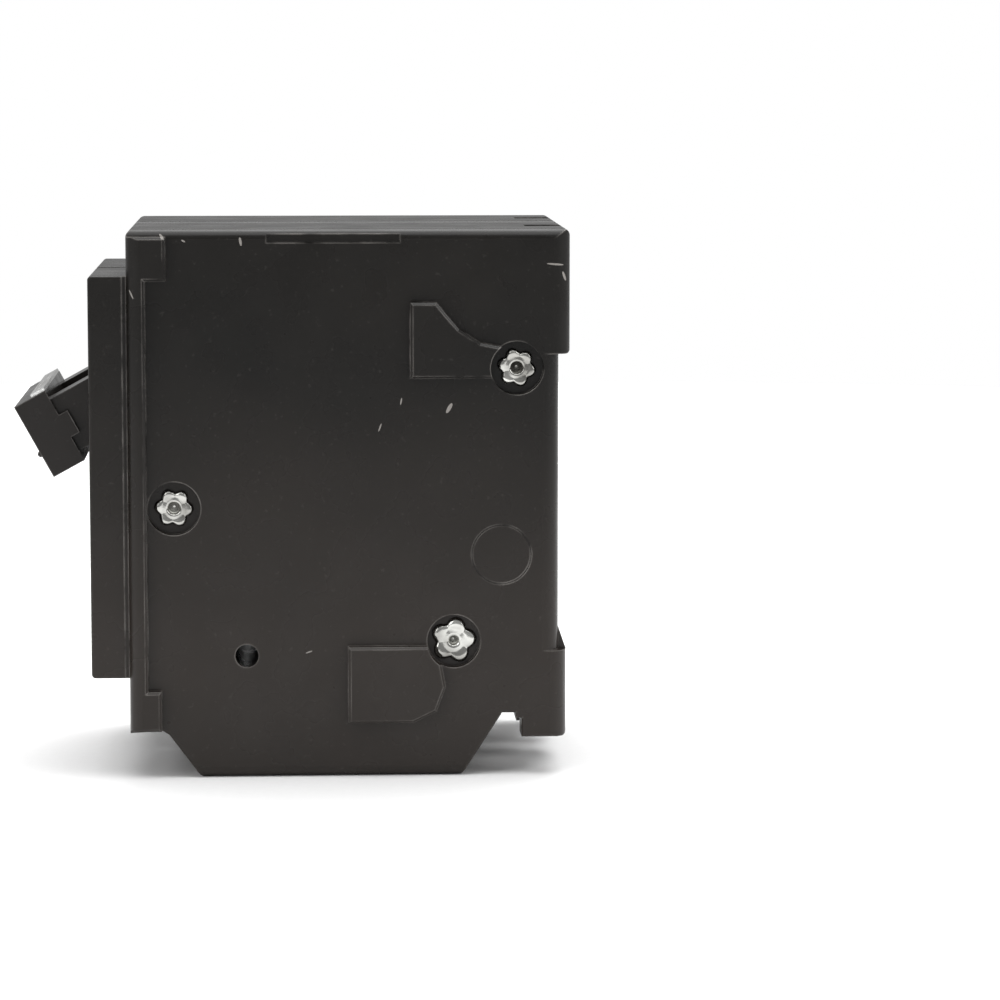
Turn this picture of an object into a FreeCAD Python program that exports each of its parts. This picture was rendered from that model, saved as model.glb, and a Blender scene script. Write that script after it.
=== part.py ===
import FreeCAD, Part
import math
import os

import Sketcher
from FreeCAD import Vector

# Two-pole plug-in breaker with ground-fault protection.
# X runs from the handle (-X) to the panel side (+X), Y across the poles, Z up to the line end.
# The origin is the middle of the foot's bottom face.

os.makedirs("parts", exist_ok=True)
doc = FreeCAD.newDocument("Breaker")

SIZES = {
    # overall
    "pole_pitch": 25.4,
    "pole_width": 22.2,
    "pad_proud": 1.6,
    "case_height": 78.0,
    "parting": 1.7,
    "wall": 1.8,
    "edge_round": 0.35,
    "rear_round": 2.35,
    "top_round": 1.4,
    "foot_round": 1.6,
    # case outline, X positions
    "front_face": -34.0,
    "front_case": -28.6,
    "foot_half": 18.5,
    "rear_main": 32.4,
    "rear_top": 34.0,
    "hook_rear": 33.5,
    "hook_inner": 27.1,
    # case outline, Z positions
    "collar_low": 14.4,
    "collar_high": 71.5,
    "front_low": 6.5,
    "rear_step": 60.3,
    "hook_tip": 5.5,
    "hook_throat": 9.0,
    # rivets and the side hole
    "rivet_a_x": -22.17,
    "rivet_a_z": 38.6,
    "rivet_b_x": 26.4,
    "rivet_b_z": 58.35,
    "rivet_c_x": 17.4,
    "rivet_c_z": 19.4,
    "rivet_shank": 1.4,
    "rivet_head": 2.8,
    "recess_hole": 3.8,
    "recess_deep": 1.3,
    "side_hole": 1.65,
    "side_hole_x": -12.0,
    "side_hole_z": 17.5,
    # clearances
    "run_gap": 0.05,
    "free_gap": 0.3,
    # handle and tie
    "handle_x": -24.5,
    "handle_z": 57.2,
    "handle_rest": 28.8,
    "handle_wide": 9.6,
    "drum": 8.9,
    "lever_reach": 18.5,
    "lever_wide": 7.4,
    "trunnion": 1.8,
    "tie_thick": 5.0,
    "tie_tall": 11.4,
    "tie_long": 35.0,
    # contact arm and cradle pivots
    "arm_x": -13.5,
    "arm_z": 55.5,
    "arm_rest": 14.0,
    "arm_reach": 24.5,
    "pin": 1.4,
    "cradle_x": -14.5,
    "cradle_z": 44.0,
    # armature and trip bar
    "armature_x": 2.9,
    "armature_z": 20.5,
    "armature_pin": 0.9,
    "trip_x": 13.0,
    "trip_z": 13.4,
    "trip_shaft": 1.6,
    # line end
    "jaw_front": 20.4,
    "jaw_mouth": 32.6,
    "jaw_low": 67.1,
    "jaw_high": 75.4,
    "jaw_gap": 1.0,
    "slot_half": 2.2,
    # load terminal
    "lug_z": 11.3,
    "lug_screw": 1.9,
    "wire_hole": 2.4,
    # test button
    "button_z": 27.0,
    "button": 3.0,
}


class Size:
    """A length kept twice: as text for the sheet's expressions, and as its present number."""

    def __init__(self, text, number):
        self.text = text
        self.number = number

    def combine(self, sign, other, number):
        return Size("(%s %s %s)" % (self.text, sign, other.text), number)

    def __add__(self, other):
        other = sized(other)
        return self.combine("+", other, self.number + other.number)

    def __radd__(self, other):
        return sized(other) + self

    def __sub__(self, other):
        other = sized(other)
        return self.combine("-", other, self.number - other.number)

    def __rsub__(self, other):
        return sized(other) - self

    def __mul__(self, other):
        other = sized(other)
        return self.combine("*", other, self.number * other.number)

    def __rmul__(self, other):
        return sized(other) * self

    def __truediv__(self, other):
        other = sized(other)
        return self.combine("/", other, self.number / other.number)

    def __neg__(self):
        return sized(0) - self


def sized(value):
    if isinstance(value, Size):
        return value
    return Size("%.4f" % value, float(value))


sheet = doc.addObject("Spreadsheet::Sheet", "Sizes")
for row, (word, number) in enumerate(SIZES.items(), 1):
    sheet.set("A%d" % row, word)
    sheet.set("B%d" % row, str(number))
    sheet.setAlias("B%d" % row, word)
doc.recompute()


class Sheet:
    """Sizes.word gives the sheet's value as a Size."""

    def __getattr__(self, word):
        return Size("Sizes." + word, float(SIZES[word]))


s = Sheet()

# Each sketch plane: its role, and the sign of the way its normal points along the world axis.
PLANES = {"XY": ("XY_Plane", 1), "XZ": ("XZ_Plane", -1), "YZ": ("YZ_Plane", 1)}


def bind(thing, path, value):
    thing.setExpression(path, sized(value).text)


def cove(x, y, across, up, reach, clear=1.7):
    """Profile that rounds the corner at (x, y), whose material lies the across and up ways,
    each 1 or -1. The round meets both faces at the reach, a little short of tangent, and the
    profile stands clear of the material outside."""
    x, y, reach = sized(x), sized(y), sized(reach)
    corners = [
        (x + across * reach, y),
        (x + across * reach, y - up * clear),
        (x - across * clear, y - up * clear),
        (x - across * clear, y + up * reach),
        (x, y + up * reach),
    ]
    hub = (x + across * (reach + 0.3), y + up * (reach + 0.3))
    return ("cove", corners, hub)


def draw(body, plane, at, loops):
    """A sketch in the body at a distance along the plane's world axis. A loop is a list of
    corner points, a round ("ring", x, y, radius), or a cove, whose last side is an arc."""
    role, way = PLANES[plane]
    sketch = body.newObject("Sketcher::SketchObject", "Sketch")
    origin = [f for f in body.Origin.OriginFeatures if f.Role == role][0]
    sketch.AttachmentSupport = [(origin, "")]
    sketch.MapMode = "FlatFace"
    bind(sketch, ".AttachmentOffset.Base.z", sized(at) * way)

    def hold(kind, geometry, point, value):
        value = sized(value)
        rule = Sketcher.Constraint(kind, -1, 1, geometry, point, value.number)
        place = sketch.addConstraint(rule)
        sketch.setExpression("Constraints[%d]" % place, value.text)

    for loop in loops:
        first = sketch.GeometryCount
        if loop[0] == "ring":
            x, y, radius = [sized(v) for v in loop[1:]]
            middle = Vector(x.number, y.number, 0)
            sketch.addGeometry(Part.Circle(middle, Vector(0, 0, 1), radius.number), False)
            hold("DistanceX", first, 3, x)
            hold("DistanceY", first, 3, y)
            place = sketch.addConstraint(Sketcher.Constraint("Radius", first, radius.number))
            sketch.setExpression("Constraints[%d]" % place, radius.text)
            continue
        hub = None
        if loop[0] == "cove":
            hub = [sized(v) for v in loop[2]]
            loop = loop[1]
        corners = [(sized(x), sized(y)) for x, y in loop]
        flat = [Vector(x.number, y.number, 0) for x, y in corners]
        count = len(flat)
        straight = count - 1 if hub else count
        ends = [(first + i, 1, first + i, 2) for i in range(straight)]
        for i in range(straight):
            sketch.addGeometry(Part.LineSegment(flat[i], flat[(i + 1) % count]), False)
        if hub:
            middle = Vector(hub[0].number, hub[1].number, 0)
            start = math.atan2(flat[-1].y - middle.y, flat[-1].x - middle.x)
            stop = math.atan2(flat[0].y - middle.y, flat[0].x - middle.x)
            onward = (stop - start) % (2 * math.pi) < math.pi
            low, high = (start, stop) if onward else (stop, start)
            circle = Part.Circle(middle, Vector(0, 0, 1), (flat[0] - middle).Length)
            arc = sketch.addGeometry(Part.ArcOfCircle(circle, low, high), False)
            ends.append((arc, 1 if onward else 2, arc, 2 if onward else 1))
            hold("DistanceX", arc, 3, hub[0])
            hold("DistanceY", arc, 3, hub[1])
        for here, after in zip(ends, ends[1:] + ends[:1]):
            joint = Sketcher.Constraint("Coincident", here[2], here[3], after[0], after[1])
            sketch.addConstraint(joint)
        for i, (x, y) in enumerate(corners):
            hold("DistanceX", ends[i][0], ends[i][1], x)
            if not hub or i < straight:
                hold("DistanceY", ends[i][0], ends[i][1], y)
    return sketch


def sweep(body, kind, plane, start, stop, loops):
    """Pad or pocket the loops from start to stop along the plane's world axis."""
    start = sized(start)
    stop = sized(stop)
    sketch = draw(body, plane, start, loops)
    feature = body.newObject("PartDesign::" + kind, kind)
    feature.Profile = sketch
    forward = (stop.number - start.number) * PLANES[plane][1] > 0
    if kind == "Pocket":
        forward = not forward
    feature.Reversed = not forward
    longer = stop - start if stop.number > start.number else start - stop
    feature.Length = longer.number
    bind(feature, "Length", longer)
    doc.recompute()
    return feature


def pad(body, plane, start, stop, *loops):
    return sweep(body, "Pad", plane, start, stop, loops)


def pocket(body, plane, start, stop, *loops):
    before = body.Tip.Shape.Volume
    feature = sweep(body, "Pocket", plane, start, stop, loops)
    assert feature.Shape.Volume < before - 0.001, "pocket removed nothing in " + body.Label
    return feature


def dress(body, kind, size, wanted):
    """Fillet or chamfer every edge of the body's tip that wanted(edge) picks."""
    tip = body.Tip
    names = ["Edge%d" % i for i, e in enumerate(tip.Shape.Edges, 1) if wanted(e)]
    feature = body.newObject("PartDesign::" + kind, kind)
    feature.Base = (tip, names)
    word = "Radius" if kind == "Fillet" else "Size"
    bind(feature, word, size)
    doc.recompute()
    return feature


def corner_at(points):
    """Picks edges that run along Y through any of the (x, z) points."""
    spots = [(sized(x).number, sized(z).number) for x, z in points]

    def wanted(edge):
        a = edge.Vertexes[0].Point
        b = edge.Vertexes[-1].Point
        along = abs(a.x - b.x) + abs(a.z - b.z) < 0.01 and abs(a.y - b.y) > 0.5
        return along and any(abs(a.x - x) + abs(a.z - z) < 0.02 for x, z in spots)

    return wanted


def rectangle(x0, x1, y0, y1):
    return [(x0, y0), (x1, y0), (x1, y1), (x0, y1)]


def body_named(label):
    body = doc.addObject("PartDesign::Body", label)
    body.Label = label
    return body


def box(label, x, y, z):
    """A block between the pairs of limits."""
    part = doc.addObject("Part::Box", label)
    part.Label = label
    for word, axis, (low, high) in (("Length", "x", x), ("Width", "y", y), ("Height", "z", z)):
        bind(part, word, sized(high) - low)
        bind(part, ".Placement.Base." + axis, low)
    return part


def rod(label, axis, centre, radius, low, high):
    """A round bar along an axis; centre gives the two other coordinates in X, Y, Z order."""
    part = doc.addObject("Part::Cylinder", label)
    part.Label = label
    bind(part, "Radius", radius)
    bind(part, "Height", sized(high) - low)
    spin = {"X": (Vector(0, 1, 0), 90), "Y": (Vector(1, 0, 0), -90), "Z": (Vector(0, 0, 1), 0)}
    part.Placement.Rotation = FreeCAD.Rotation(*spin[axis])
    spots = list(centre)
    spots.insert("XYZ".index(axis), low)
    for word, value in zip("xyz", spots):
        bind(part, ".Placement.Base." + word, value)
    return part


def fuse(label, *pieces):
    part = doc.addObject("Part::MultiFuse", label)
    part.Label = label
    part.Shapes = list(pieces)
    return part


def cut(label, base, *tools):
    part = doc.addObject("Part::Cut", label)
    part.Label = label
    part.Base = base
    part.Tool = tools[0] if len(tools) == 1 else fuse(label + "_tools", *tools)
    return part


def group(label, *pieces):
    part = doc.addObject("Part::Compound", label)
    part.Label = label
    part.Links = list(pieces)
    return part


nodes = {}


def keep(part, x=0, y=0, z=0, turn=0):
    """Place a finished piece, turned about +Y, and list it for export."""
    part.Placement.Rotation = FreeCAD.Rotation(Vector(0, 1, 0), 0)
    if turn:
        part.Placement.Rotation = FreeCAD.Rotation(Vector(0, 1, 0), 1)
        bind(part, ".Placement.Rotation.Angle", turn)
    for word, value in (("x", x), ("y", y), ("z", z)):
        bind(part, ".Placement.Base." + word, value)
    nodes[part.Label] = part
    return part


# ---- case halves -------------------------------------------------------------------------

half = s.pole_width / 2
inner = half - s.wall
OUTLINE = [
    (-s.foot_half, 0),
    (s.foot_half, 0),
    (24.3, s.hook_throat),
    (26.2, s.hook_throat),
    (26.2, s.hook_throat - 0.8),
    (s.hook_inner, s.hook_throat - 0.8),
    (s.hook_inner, s.hook_tip),
    (s.hook_rear, s.hook_tip),
    (s.hook_rear, 18.0),
    (s.rear_main, 21.2),
    (s.rear_main, s.rear_step),
    (s.rear_top, s.rear_step),
    (s.rear_top, s.case_height),
    (s.front_case, s.case_height),
    (s.front_case, s.collar_high),
    (s.front_face, s.collar_high),
    (s.front_face, s.collar_low),
    (s.front_case, s.collar_low),
    (s.front_case, s.front_low),
    (-24.0, 6.75),
    (-23.1, 6.2),
]
CAVITY = [
    (2.1 - s.foot_half, s.wall),
    (s.foot_half - 0.9, s.wall),
    (23.0, s.hook_throat + 1.6),
    (23.0, 22.6),
    (s.rear_main - s.wall, 22.6),
    (s.rear_main - s.wall, s.rear_step - 0.7),
    (22.0, s.rear_step - 0.7),
    (22.0, s.case_height - s.wall),
    (s.front_case + s.wall, s.case_height - s.wall),
    (s.front_case + s.wall, s.collar_high - s.wall),
    (s.front_face + s.wall, s.collar_high - s.wall),
    (s.front_face + s.wall, s.collar_low + s.wall),
    (s.front_case + s.wall, s.collar_low + s.wall),
    (s.front_case + s.wall, s.front_low + s.wall),
    (-22.6, s.front_low + s.wall),
]
FLANGE = [
    (s.front_case, s.front_low + 0.4),
    (-24.1, s.front_low + 0.4),
    (-24.1, 12.6),
    (-26.0, 12.6),
    (-26.0, 70.8),
    (-23.1, 70.8),
    (-23.1, s.case_height - 1.0),
    (s.front_case, s.case_height - 1.0),
]
WEDGE = [
    (11.3, 57.0),
    (26.4, 57.0),
    (26.4, 60.6),
    (24.3, 61.4),
    (21.2, 62.0),
    (18.2, 63.9),
    (16.2, 66.2),
    (15.0, 67.7),
    (11.3, 67.7),
]
LOW_PAD = [
    (2.4, 7.9),
    (11.6, 7.9),
    (14.9, 9.5),
    (16.2, 13.0),
    (15.6, 16.2),
    (14.4, 18.8),
    (2.4, 18.8),
]
RIVETS = [
    (s.rivet_a_x, s.rivet_a_z),
    (s.rivet_b_x, s.rivet_b_z),
    (s.rivet_c_x, s.rivet_c_z),
]
PIVOTS = [
    (s.handle_x, s.handle_z, s.trunnion, s.handle_wide / 2 + 0.4),
    (s.arm_x, s.arm_z, s.pin, 5.0),
    (s.cradle_x, s.cradle_z, s.pin, 5.0),
    (s.armature_x, s.armature_z, s.armature_pin, 7.0),
]


def case_half(label, side, outer, pole):
    """One moulded half. side is -1 for the base, +1 for the cover; outer is True where the
    half shows at the outside of the assembly, False where it faces the other pole."""
    body = body_named(label)
    face = half * side
    raised = face + s.pad_proud * side
    floor = inner * side
    pad(body, "XZ", s.parting, face, OUTLINE)
    big = [(s.rear_top, s.case_height), (s.front_case, s.case_height)]
    dress(body, "Fillet", 1.1, corner_at(big))
    small = [
        (s.front_face, s.collar_high),
        (s.front_face, s.collar_low),
        (s.hook_rear, s.hook_tip),
        (s.rear_top, s.rear_step),
        (-s.foot_half, 0),
        (s.foot_half, 0),
    ]
    dress(body, "Fillet", 0.6, corner_at(small))

    def outer_edge(edge):
        return all(abs(v.Point.y - face.number) < 0.001 for v in edge.Vertexes)

    dress(body, "Fillet", s.edge_round, outer_edge)
    for x, low, high in (
        (s.rear_top, s.rear_step, s.case_height + 0.1),
        (s.rear_main, 17.9, s.rear_step),
        (s.hook_rear, s.hook_tip - 0.1, 17.9),
    ):
        pocket(body, "XY", low, high, cove(x, face, -1, -side, s.rear_round))
    top = cove(face, s.case_height, -side, -1, s.top_round)
    pocket(body, "YZ", s.front_case - 0.1, s.rear_top + 0.1, top)
    foot = cove(face, 0, -side, 1, s.foot_round)
    pocket(body, "YZ", -s.foot_half - 5.0, s.foot_half + 6.0, foot)
    pad(body, "XZ", face - 1.3 * side, raised, FLANGE, WEDGE, LOW_PAD)

    def pad_edge(edge):
        return all(abs(v.Point.y - raised.number) < 0.001 for v in edge.Vertexes)

    dress(body, "Chamfer", s.edge_round, pad_edge)
    pocket(body, "XY", s.front_low, s.case_height, cove(s.front_case, raised, 1, -side, 1.8, 0.6))

    # hollow, with rivet posts that stand to the parting face and bored bosses for the pins
    pocket(body, "XZ", s.parting, floor, CAVITY)
    posts = [("ring", x, z, s.rivet_shank + 1.2) for x, z in RIVETS]
    posts.append(("ring", s.side_hole_x, s.side_hole_z, s.side_hole + 0.8))
    pad(body, "XZ", floor + 0.2 * side, s.parting, *posts)
    for x, z, radius, stand in PIVOTS:
        pad(body, "XZ", floor + 0.2 * side, sized(stand) * side, ("ring", x, z, radius + 1.1))
        bore = ("ring", x, z, radius + s.run_gap)
        pocket(body, "XZ", sized(stand) * side, floor + 0.3 * side, bore)

    # rivet recesses outside, round bosses where the poles meet, then the through holes
    deep = face - s.recess_deep * side
    if outer:
        sinks = [("ring", x, z, s.recess_hole) for x, z in RIVETS]
        pocket(body, "XZ", raised, deep, *sinks)
    else:
        rings = [("ring", x, z, 2.95) for x, z in RIVETS[1:]]
        pad(body, "XZ", face - 0.5 * side, raised, *rings)
    holes = [("ring", x, z, s.rivet_shank + s.run_gap) for x, z in RIVETS]
    pocket(body, "XZ", raised, s.parting, *holes)
    pocket(body, "XZ", raised, s.parting, ("ring", s.side_hole_x, s.side_hole_z, s.side_hole))
    shaft = ("ring", s.trip_x, s.trip_z, s.trip_shaft + s.run_gap)
    boss = ("ring", s.trip_x, s.trip_z, s.trip_shaft + 1.1)
    pad(body, "XZ", floor + 0.2 * side, (inner - 2.0) * side, boss)
    pocket(body, "XZ", (inner - 2.0) * side, floor + 0.3 * side if outer else raised, shaft)
    if outer:
        pocket(body, "XZ", face, face - 0.15 * side, ("ring", 24.2, 31.8, 4.3),
               ("ring", 24.2, 31.8, 4.1))
        pocket(body, "XZ", face, face - 0.4 * side, rectangle(-8.9, 9.9, 76.1, 77.3))

    # stab slot, funnel, upper cavity and lintel slot at the line end
    ahead = s.rear_top + 0.1
    low = s.parting if side > 0 else -s.slot_half
    high = s.slot_half if side > 0 else s.parting
    pocket(body, "YZ", ahead, 22.0, rectangle(low, high, s.rear_step + 0.6, s.jaw_low + 2.2))
    pocket(body, "YZ", ahead, 31.4,
           rectangle(sized(low), sized(high), s.jaw_low + 2.1, s.jaw_low + 4.7))
    reach = 8.5 * side
    if side > 0:
        funnel = [(s.parting, 69.3), (2.5, 69.3), (4.9, 71.7), (s.parting, 71.7)]
    else:
        funnel = [(-4.9, 71.7), (-2.5, 69.3), (s.parting, 69.3), (s.parting, 71.7)]
    pocket(body, "YZ", ahead, 30.4, funnel)
    span = (s.parting, reach) if side > 0 else (reach, s.parting)
    arch = [(span[0], 71.6), (span[1], 71.6), (span[1], 74.5 if side > 0 else 74.9),
            (span[0], 74.9 if side > 0 else 74.5)]
    pocket(body, "YZ", ahead, 22.0, arch)
    room = (s.parting, 4.2) if side > 0 else (-4.2, s.parting)
    pocket(body, "YZ", 32.8, 21.5, rectangle(room[0], room[1], s.jaw_low - 0.3, 76.2))
    slit = (s.parting, 1.95) if side > 0 else (-1.95, s.parting)
    pocket(body, "YZ", ahead, 28.0, rectangle(slit[0], slit[1], 74.4, s.case_height + 0.1))
    lip = (s.parting, 7.8) if side > 0 else (-7.8, s.parting)
    pocket(body, "YZ", ahead, s.rear_top - 0.3, rectangle(lip[0], lip[1], 74.4, 77.2))

    # the base's hook block laps over the parting face, and its back has a shallow cross line
    lap = rectangle(s.hook_rear - 1.6, s.hook_rear, 10.9, 17.9)
    if side > 0:
        pocket(body, "XZ", s.parting, 3.1, lap)
    else:
        pad(body, "XZ", s.parting, 3.1, lap)
        pocket(body, "YZ", s.rear_main + 0.1, s.rear_main - 0.12,
               rectangle(-half, s.parting, 44.4, 44.62))

    # notch in the hook leg
    notch = (s.parting, 2.8) if side > 0 else (-5.6, s.parting)
    pocket(body, "YZ", s.hook_rear + 0.1, s.hook_inner - 1.0,
           rectangle(notch[0], notch[1], s.hook_tip - 0.1, 10.9))

    # handle slot, terminal screw hole and wire hole
    slot = (s.parting, 5.2) if side > 0 else (-5.2, s.parting)
    pocket(body, "YZ", s.front_face - 0.1, s.front_face + s.wall + 0.2,
           rectangle(slot[0], slot[1], s.handle_z - 10.6, s.handle_z + 10.6))
    for plane, start, stop, centre, radius in (
        ("YZ", s.front_case - 0.1, s.front_case + s.wall + 0.2, (0, s.lug_z), 3.0),
        ("XY", -0.1, s.wall + 0.4, (-13.75, 0), s.wire_hole),
    ):
        pocket(body, plane, start, stop, ("ring", centre[0], centre[1], radius))
    if side < 0:
        pocket(body, "XY", -0.1, s.wall + 0.4, ("ring", 9.4, 0, 0.95))
        pocket(body, "XY", -0.1, 1.0, ("ring", 9.4, 0, 1.6))
    if pole == "b":
        pocket(body, "YZ", s.front_face - 0.1, s.front_face + s.wall + 0.2,
               ("ring", 0, s.button_z, s.button + 0.1))
    return body


# ---- pieces that each pole has -----------------------------------------------------------

def line_jaw(label):
    """Fork bent from one strip: a web at the front and two fingers with flared lips."""
    body = body_named(label)
    front = s.jaw_front
    mouth = s.jaw_mouth
    gap = s.jaw_gap
    thick = 0.8
    right = [(mouth, 2.4), (mouth - 1.8, gap + thick), (front, gap + thick)]
    left = [(x, -y) for x, y in reversed(right)]
    hollow = [(mouth, -1.15), (mouth - 2.2, -gap), (front + thick, -gap),
              (front + thick, gap), (mouth - 2.2, gap), (mouth, 1.15)]
    pad(body, "XY", s.jaw_low, s.jaw_high, right + left + hollow)
    return body


def jaw_spring(label):
    """Steel clip round the fingers, its upper wings bowed outwards."""
    body = body_named(label)
    front = s.jaw_front - 0.6
    low = [(front, -2.4), (30.7, -2.4), (30.7, -1.85), (front + 0.55, -1.85),
           (front + 0.55, 1.85), (30.7, 1.85), (30.7, 2.4), (front, 2.4)]
    pad(body, "XY", s.jaw_low + 0.4, s.jaw_low + 5.2, low)
    for way in (-1, 1):
        wing = [(2.0, 71.9), (2.4, 71.9), (2.95, 72.6), (3.45, 73.6), (3.75, 74.7),
                (3.3, 74.8), (3.0, 73.8), (2.55, 72.9)]
        wing = [(y * way, z) for y, z in wing]
        pad(body, "YZ", 25.6, 31.0, wing)
    return body


def jaw_grease(label, low):
    """Blob of contact grease held between the lips."""
    body = body_named(label)
    wide = s.jaw_gap - 0.02
    pad(body, "YZ", 28.6, s.jaw_mouth - 0.6, rectangle(-wide, wide, low, 72.1))
    return body


def line_strap(label):
    """Copper strip from the jaw's web forward over the contacts."""
    body = body_named(label)
    strip = [(5.5, 64.4), (s.jaw_front - 0.6, 64.4), (s.jaw_front - 0.6, 75.0),
             (s.jaw_front - 1.8, 75.0), (s.jaw_front - 1.8, 65.6), (5.5, 65.6)]
    pad(body, "XZ", -3.2, 3.2, strip)
    dress(body, "Fillet", 0.5, corner_at([(s.jaw_front - 1.8, 65.6)]))
    return body


def contact_arm(label):
    """Bar with a hub and its pin, drawn closed about its pivot."""
    body = body_named(label)
    bar = [(0, -2.2), (3.5, -1.6), (12.0, -0.9), (20.5, 3.4), (s.arm_reach, 4.4),
           (s.arm_reach, 6.2), (19.6, 6.2), (11.0, 1.5), (2.5, 2.0), (0, 2.2)]
    pad(body, "XZ", -1.8, 1.8, bar)
    pad(body, "XZ", -2.4, 2.4, ("ring", 0, 0, 2.4))
    pad(body, "XZ", 0.2 - inner, inner - 0.2, ("ring", 0, 0, s.pin))
    return body


def cradle(label):
    """Latched lever with its pin."""
    body = body_named(label)
    plate = [(-2.2, -1.0), (-0.4, -2.4), (7.0, -5.2), (15.6, -10.0), (16.4, -10.0),
             (16.4, -8.3), (13.6, -7.6), (8.6, -1.6), (6.4, -2.2), (1.2, 2.2), (-1.0, 2.2)]
    pad(body, "XZ", -0.9, 0.9, plate)
    pad(body, "XZ", -1.8, 1.8, ("ring", 0, 0, 2.3))
    pad(body, "XZ", 0.2 - inner, inner - 0.2, ("ring", 0, 0, s.pin))
    return body


def armature(label):
    """Steel plate on a thin pin, with a latch ledge and an ear for the trip bar."""
    body = body_named(label)
    x = s.armature_x
    pad(body, "XZ", -3.0, 3.0, [(x - 0.5, 21.0), (x + 0.5, 21.0), (x + 0.5, 37.6),
                               (x - 0.9, 37.6), (x - 0.9, 36.6), (x - 0.5, 36.6)])
    pad(body, "XZ", 0.2 - inner, inner - 0.2, ("ring", x, s.armature_z, s.armature_pin))
    pad(body, "XZ", -1.6, 1.6, ("ring", x, s.armature_z, s.armature_pin + 0.6))
    pad(body, "XZ", 2.8, 6.8, rectangle(x - 0.5, x + 0.5, 26.0, 29.0))
    return body


def load_strap(label):
    """Copper strip from the bimetal's foot, over the through hole and down into the lug."""
    body = body_named(label)
    strip = [(9.9, 6.4), (9.9, 11.2), (8.9, 11.2), (8.9, 7.6), (-5.0, 7.6), (-5.0, 23.2),
             (-17.6, 23.2), (-17.6, 8.6), (-16.1, 8.6), (-16.1, 22.0), (-6.2, 22.0), (-6.2, 6.4)]
    pad(body, "XZ", -2.6, 2.6, strip)
    return body


def magnet_yoke(label):
    """U of sheet steel round the bimetal, its tab held in the base."""
    body = body_named(label)
    channel = [(6.4, -4.2), (11.2, -4.2), (11.2, 4.2), (6.4, 4.2), (6.4, 3.2), (10.2, 3.2),
               (10.2, -3.2), (6.4, -3.2)]
    pad(body, "XY", 24.0, 33.0, channel)
    pad(body, "YZ", 10.2, 11.2, rectangle(-inner, -4.0, 26.0, 31.0))
    return body


def handle(label):
    """Toggle drawn pointing to -X about its own pin."""
    body = body_named(label)
    wide = s.handle_wide / 2
    pad(body, "XZ", -wide, wide, ("ring", 0, 0, s.drum))
    pocket(body, "XZ", -wide, wide, [(3.0, -20), (20, -20), (20, 20), (3.0, 20)])
    grip = s.lever_wide / 2
    pad(body, "XZ", -grip, grip, [(-s.lever_reach, -4.2), (-5.0, -4.2), (-5.0, 4.2),
                                 (-s.lever_reach, 4.2)])
    pad(body, "XZ", 0.2 - inner, inner - 0.2, ("ring", 0, 0, s.trunnion))
    pad(body, "XZ", -1.6, 1.6, rectangle(2.5, 7.0, -1.5, 1.5))
    return body


def build_pole(pole, y):
    outer = {"base": pole == "a", "cover": pole == "b"}
    keep(case_half("base_" + pole, -1, outer["base"], pole), y=y)
    keep(case_half("cover_" + pole, 1, outer["cover"], pole), y=y)
    keep(line_jaw("line_jaw_" + pole), y=y)
    keep(jaw_spring("jaw_spring_" + pole), y=y)
    keep(jaw_grease("jaw_grease_" + pole, 67.3 if pole == "a" else 66.5), y=y)
    keep(line_strap("line_strap_" + pole), y=y)
    fixed = rod("fixed_contact_" + pole, "Z", (9.0, 0), 2.2, 63.2, 64.4)
    keep(group_of_one(fixed), y=y)
    keep(contact_arm("contact_arm_" + pole), s.arm_x, y, s.arm_z, s.arm_rest)
    moving = rod("moving_contact_" + pole, "Z", (22.5, 0), 2.0, 6.2, 7.4)
    keep(group_of_one(moving), s.arm_x, y, s.arm_z, s.arm_rest)
    keep(cradle("cradle_" + pole), s.cradle_x, y, s.cradle_z)
    keep(main_spring("main_spring_" + pole), y=y)
    keep(arc_plates("arc_plates_" + pole), y=y)
    keep(arc_holder("arc_holder_" + pole), y=y)
    keep(braid("braid_" + pole), y=y)
    bimetal = box("bimetal_" + pole, (8.0, 8.9), (-2.6, 2.6), (7.9, 39.0))
    keep(group_of_one(bimetal), y=y)
    keep(magnet_yoke("magnet_yoke_" + pole), y=y)
    keep(armature("armature_" + pole), y=y)
    keep(load_strap("load_strap_" + pole), y=y)
    keep(lug_cage("lug_cage_" + pole), y=y)
    keep(lug_screw("lug_screw_" + pole), y=y)
    keep(calibration_screw("calibration_screw_" + pole), y=y)
    keep(handle("handle_" + pole), s.handle_x, y, s.handle_z, -s.handle_rest)


def group_of_one(part):
    """Wrap a primitive so that its own expressions stay apart from the pole's placement."""
    label = part.Label
    part.Label = label + "_form"
    return group(label, part)


def main_spring(label):
    coil = rod(label + "_outside", "Z", (-6.2, 0), 1.8, 42.6, 52.1)
    core = rod(label + "_inside", "Z", (-6.2, 0), 1.2, 42.5, 52.2)
    return cut(label, coil, core)


def arc_plates(label):
    plates = []
    for i in range(6):
        low = 51.0 + 2.0 * i
        slab = box("%s_slab%d" % (label, i), (12.6, 20.6), (-5.0, 5.0), (low, low + 1.0))
        notch = box("%s_notch%d" % (label, i), (12.5, 15.6), (-2.2, 2.2), (low - 0.1, low + 1.1))
        plates.append(cut("%s_plate%d" % (label, i), slab, notch))
    return group(label, *plates)


def arc_holder(label):
    sides = []
    for way in (-1, 1):
        near, far = sorted((5.0 * way, 5.8 * way))
        sides.append(box("%s_side%d" % (label, way), (12.4, 20.8), (near, far), (50.4, 62.6)))
    return group(label, *sides)


def braid(label):
    body = body_named(label)
    ribbon = [(-1.4, 51.6), (0.2, 50.4), (3.0, 47.2), (5.6, 43.0), (6.8, 39.4), (6.8, 36.8),
              (8.0, 36.8), (8.0, 39.8), (6.7, 43.8), (4.2, 48.0), (1.4, 52.2)]
    pad(body, "XZ", -1.7, 1.7, ribbon)
    return body


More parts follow.
